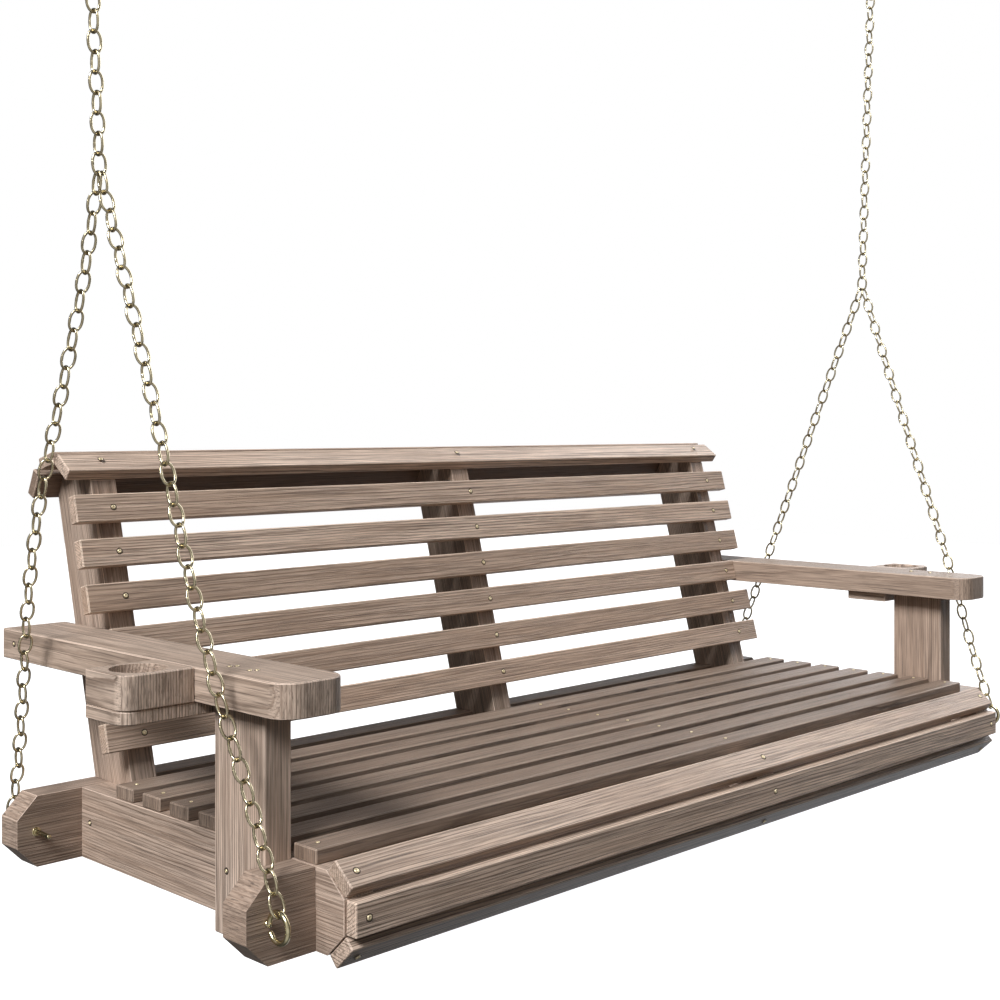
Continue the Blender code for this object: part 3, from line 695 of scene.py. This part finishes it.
def washer_and_nut(end, side, inward):
    for part in ("washer", "nut"):
        name = "%s_%s_%s" % (part, end, side)
        low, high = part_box(name)
        middle = (low + high) / 2.0
        half = (high.y - low.y) / 2.0
        shape = bmesh.new()
        if part == "washer":
            outer = high.z - middle.z
            inner = BORE_R + 0.0001
            add_lathe(shape, middle, inward,
                      [(inner, -half), (outer - 0.0002, -half), (outer, -half * 0.5),
                       (outer, half * 0.5), (outer - 0.0002, half), (inner, half), (inner, -half)], 40)
        else:
            hexagon(shape, middle, inward, half)
        placed_piece(shape, "metal_" + name, SEAT, [name], smooth=part == "washer")


def make_eye_bolts():
    for side in SIDES:
        for end, inward in (("front", Y), ("rear", -Y)):
            eye_bolt(end, side, inward)
            washer_and_nut(end, side, inward)


def make_hooks():
    """A closed ring on a shank, under a round plate."""
    for side in SIDES:
        name = "ceiling_hook_" + side
        low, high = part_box(name)
        middle = (low + high) / 2.0
        centre = Vector((middle.x, middle.y, JOINT["chain_swing"].z + HOOK_R))
        shape = bmesh.new()
        path = [around(centre, X, Z, HOOK_R, 2 * math.pi * i / 64) for i in range(64)]
        add_tube(shape, path, HOOK_WIRE, 20, True, Y)
        top = high.z - centre.z - HOOK_R
        profile = [(0.0, -0.001), (HOOK_WIRE * 0.97, -0.001), (HOOK_WIRE * 0.97, 0.0125),
                   (0.0060, 0.0150), (0.0060, 0.0165), (0.0160, 0.0172), (0.0192, 0.0186),
                   (0.0200, 0.0205), (0.0200, top), (0.0, top)]
        add_lathe(shape, centre + Z * HOOK_R, Z, profile, 48)
        item = placed_piece(shape, "metal_" + name, HOOKS, [name])
        split = item.modifiers.new("split", 'EDGE_SPLIT')
        split.split_angle = math.radians(40)


def add_screw(shape, place, out, size, turn):
    """A low domed screw head with a cross recess, its rim sunk a little into the board."""
    profile = [(0.0, 0.0002), (size * 0.22, 0.0003), (size * 0.42, 0.0010), (size * 0.50, 0.0012),
               (size * 0.80, 0.0010), (size, 0.0004), (size * 0.98, -0.0006)]
    start = out.orthogonal().normalized()
    other = out.cross(start)
    rings = []
    for row, (radius, height) in enumerate(profile):
        middle = place + out * height
        if radius == 0.0:
            rings.append([shape.verts.new(middle)])
            continue
        ring = []
        for i in range(SCREW_SIDES):
            angle = 2 * math.pi * i / SCREW_SIDES + turn
            pull = 1.0
            if row in (1, 2):
                pull = 0.62 + 0.55 * max(0.0, math.cos(4.0 * (angle - turn))) ** 2
            ring.append(shape.verts.new(around(middle, start, other, radius * pull, angle)))
        rings.append(ring)
    for low, high in zip(rings, rings[1:]):
        for i in range(SCREW_SIDES):
            j = (i + 1) % SCREW_SIDES
            if len(low) == 1:
                shape.faces.new((low[0], high[i], high[j]))
            else:
                shape.faces.new((low[i], high[i], high[j], low[j]))


def screws(name, places, size=0.0031, shade_ring=1.45):
    """Screw heads, and a dark flat ring round each, just proud of the board: painted shade of the
    recess round the head.
    """
    rng = random.Random(name)
    heads = bmesh.new()
    recess_shades = bmesh.new()
    for place, out in places:
        out = out.normalized()
        add_screw(heads, place, out, size, rng.uniform(0.0, 1.5))
        # the flat dark ring is painted shade of the recess round the head
        add_lathe(recess_shades, place, out, ((size, 0.0), (size, 0.00012), (size * shade_ring, 0.00012),
                                     (size * shade_ring, 0.0)), SCREW_SIDES, True)
    for shape in (heads, recess_shades):
        bmesh.ops.recalc_face_normals(shape, faces=shape.faces)
    placed_piece(heads, name, SEAT, (), SCREW_METAL)
    placed_piece(recess_shades, name + "_painted_recess_shade", SEAT, (), RECESS_SHADE, False)


def face_point(name, x, out):
    """Middle of a long slat's outer face at one x."""
    corners = [v.co for v in NODES[name].data.vertices]
    reach = max(corner.dot(out) for corner in corners)
    across = X.cross(out)
    side = [corner.dot(across) for corner in corners]
    middle = (min(side) + max(side)) / 2.0
    return Vector((x, 0.0, 0.0)) + out * reach + across * middle


def make_screws():
    upright_x = [sum(c.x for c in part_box("upright_" + s)) / 2.0 for s in ("left", "middle", "right")]
    rail_x = [sum(c.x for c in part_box("rail_" + s)) / 2.0 for s in ("left", "middle", "right")]
    back = [(face_point("back_slat_%d" % (i + 1), x, FORWARD), FORWARD)
            for i in range(6) for x in upright_x]
    screws("screws_back", back)
    seat = [(face_point("seat_slat_%d" % (i + 1), x, Z), Z) for i in range(7) for x in rail_x]
    screws("screws_seat", seat, 0.0024, 1.30)
    nose = []
    for name, out in (("upper", Vector((0.0, -math.sin(NOSE_CUT), math.cos(NOSE_CUT)))),
                      ("front", -Y),
                      ("lower", Vector((0.0, -math.sin(NOSE_CUT), -math.cos(NOSE_CUT))))):
        nose += [(face_point("nose_slat_" + name, x, out), out) for x in rail_x]
    screws("screws_nose", nose)
    cap = []
    for name, angle in (("front", math.pi / 2 - NOSE_CUT), ("top", math.pi / 2),
                        ("rear", math.pi / 2 + NOSE_CUT)):
        out = FORWARD * math.cos(angle) + UP_BACK * math.sin(angle)
        cap += [(face_point("cap_slat_" + name, x, out), out) for x in upright_x]
    screws("screws_cap", cap)
    arm = []
    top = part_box("armrest_left")[1].z
    for side in SIDES:
        for y in (0.1564, 0.1195):
            arm.append((Vector((at(sided(side, -0.0220), 0, 0).x, at(0, y, 0).y, top)), Z))
            arm.append((Vector((at(sided(side, -0.0290), 0, 0).x, at(0, y + 0.004, 0).y, top)), Z))
    screws("screws_armrest", arm, 0.0024)
    side = []
    for x, y, z in ((-0.0576, 0.5968, 0.1824), (0.0, 0.5077, -0.0421), (-0.0360, 0.1565, -0.0204)):
        side.append((at(x, y, z), -X))
        side.append((at(SPAN - x, y, z), X))
    screws("screws_side", side, 0.0021, 1.9)


# ---- camera, light and floor -------------------------------------------------
SKY_STRENGTH = 0.29
FAR = (0.72, 0.66, 0.10)
FAR_STRENGTH = 0.80
BOX = (0.93, 0.06, 0.34)
BOX_STRENGTH = 3.6
LOW_BOX = (0.88, 0.28, -0.42)
LOW_BOX_STRENGTH = 0.9
SUN = (-0.70, -0.18, 0.68)
SUN_ENERGY = 4.3
SUN_WIDTH = math.radians(22)


def make_camera():
    data = bpy.data.cameras.new("camera")
    data.sensor_width = 36.0
    data.lens = 52.763
    data.shift_y = -0.0744
    data.clip_start = 0.05
    data.clip_end = 60.0
    camera = bpy.data.objects.new("camera", data)
    camera.location = at(-0.9598, -1.1740, 0.4635)
    camera.rotation_euler = (math.radians(90.0), 0.0, math.radians(-45.343))
    bpy.context.scene.collection.objects.link(camera)
    bpy.context.scene.camera = camera


def make_floor():
    shape = bmesh.new()
    bmesh.ops.create_grid(shape, x_segments=24, y_segments=24, size=9.0)
    mesh = mesh_from(shape, "floor")
    n = Material("floor_paint")
    n.shader.inputs["Base Color"].default_value = (0.30, 0.30, 0.30, 1.0)
    n.shader.inputs["Roughness"].default_value = 0.9
    n.shader.inputs["Emission Color"].default_value = (1.0, 1.0, 1.0, 1.0)
    n.shader.inputs["Emission Strength"].default_value = 0.98
    mesh.materials.append(n.material)
    floor = new_object("floor", mesh)
    floor.location = at(SPAN / 2.0, 0.3, -0.46)
    floor.visible_diffuse = False
    floor.visible_glossy = False


def facing(world, coordinates, direction):
    """0 to 1 as a ray turns from away from to towards a direction."""
    dot = world.add("ShaderNodeVectorMath", operation='DOT_PRODUCT')
    world.link(coordinates, dot.inputs[0])
    dot.inputs[1].default_value = Vector(direction).normalized()
    return world.math('MULTIPLY_ADD', dot.outputs["Value"], 0.5, 0.5)


def background(world, colour, strength):
    node = world.add("ShaderNodeBackground")
    node.inputs["Strength"].default_value = strength
    world.link(colour, node.inputs["Color"])
    return node.outputs[0]


def joined(world, kind, *sources):
    """A shader node of a kind with its inputs taken from the sources in turn."""
    node = world.add(kind)
    for socket, source in zip(node.inputs, sources):
        world.link(source, socket)
    return node.outputs[0]


def make_world():
    """White to the eye, a soft sky for diffuse light, and a bright far side for reflections."""
    studio = bpy.data.worlds.new("studio")
    bpy.context.scene.world = studio
    studio.use_nodes = True
    studio.node_tree.nodes.clear()
    world = Tree(studio.node_tree)
    place = world.add("ShaderNodeTexCoord").outputs["Generated"]
    path = world.add("ShaderNodeLightPath")
    sky = world.ramp(facing(world, place, (0.0, 0.0, 1.0)),
                     ((0.0, (0.060, 0.055, 0.048)), (0.44, (0.150, 0.135, 0.115)),
                      (0.58, (0.62, 0.60, 0.57)), (1.0, (0.95, 0.97, 1.0))))
    far = world.ramp(facing(world, place, FAR),
                     ((0.0, (0.80, 0.80, 0.80)), (0.22, (0.55, 0.55, 0.55)),
                      (0.40, (0.06, 0.06, 0.06)), (0.60, (0.08, 0.08, 0.08)),
                      (0.80, (0.26, 0.26, 0.27)), (1.0, (0.30, 0.31, 0.33))))
    box = world.ramp(facing(world, place, BOX),
                     ((0.0, (0.0, 0.0, 0.0)), (0.90, (0.0, 0.0, 0.0)),
                      (0.94, (0.25, 0.26, 0.27)), (0.975, (1.0, 1.02, 1.06))))
    low_box = world.ramp(facing(world, place, LOW_BOX),
                         ((0.0, (0.0, 0.0, 0.0)), (0.94, (0.0, 0.0, 0.0)),
                          (0.98, (0.9, 0.97, 1.06))))
    boxes = joined(world, "ShaderNodeAddShader", background(world, box, BOX_STRENGTH),
                   background(world, low_box, LOW_BOX_STRENGTH))
    glossy = joined(world, "ShaderNodeAddShader", background(world, far, FAR_STRENGTH), boxes)
    unseen = joined(world, "ShaderNodeMixShader", path.outputs["Is Glossy Ray"],
                    background(world, sky, SKY_STRENGTH), glossy)
    seen = joined(world, "ShaderNodeMixShader", path.outputs["Is Camera Ray"], unseen,
                  background(world, (1.0, 1.0, 1.0, 1.0), 1.0))
    output = world.add("ShaderNodeOutputWorld")
    world.link(seen, output.inputs["Surface"])


def make_lights():
    key = bpy.data.lights.new("key", 'SUN')
    key.energy = SUN_ENERGY
    key.angle = SUN_WIDTH
    key.color = (0.97, 0.985, 1.0)
    item = bpy.data.objects.new("key", key)
    item.rotation_mode = 'QUATERNION'
    item.rotation_quaternion = Vector(SUN).to_track_quat('Z', 'Y')
    bpy.context.scene.collection.objects.link(item)


make_camera()
make_world()
make_lights()
make_floor()
make_boards()
make_chains()
make_eye_bolts()
make_hooks()
make_screws()

scene = bpy.context.scene
scene.view_settings.view_transform = 'Standard'
scene.view_settings.look = 'None'
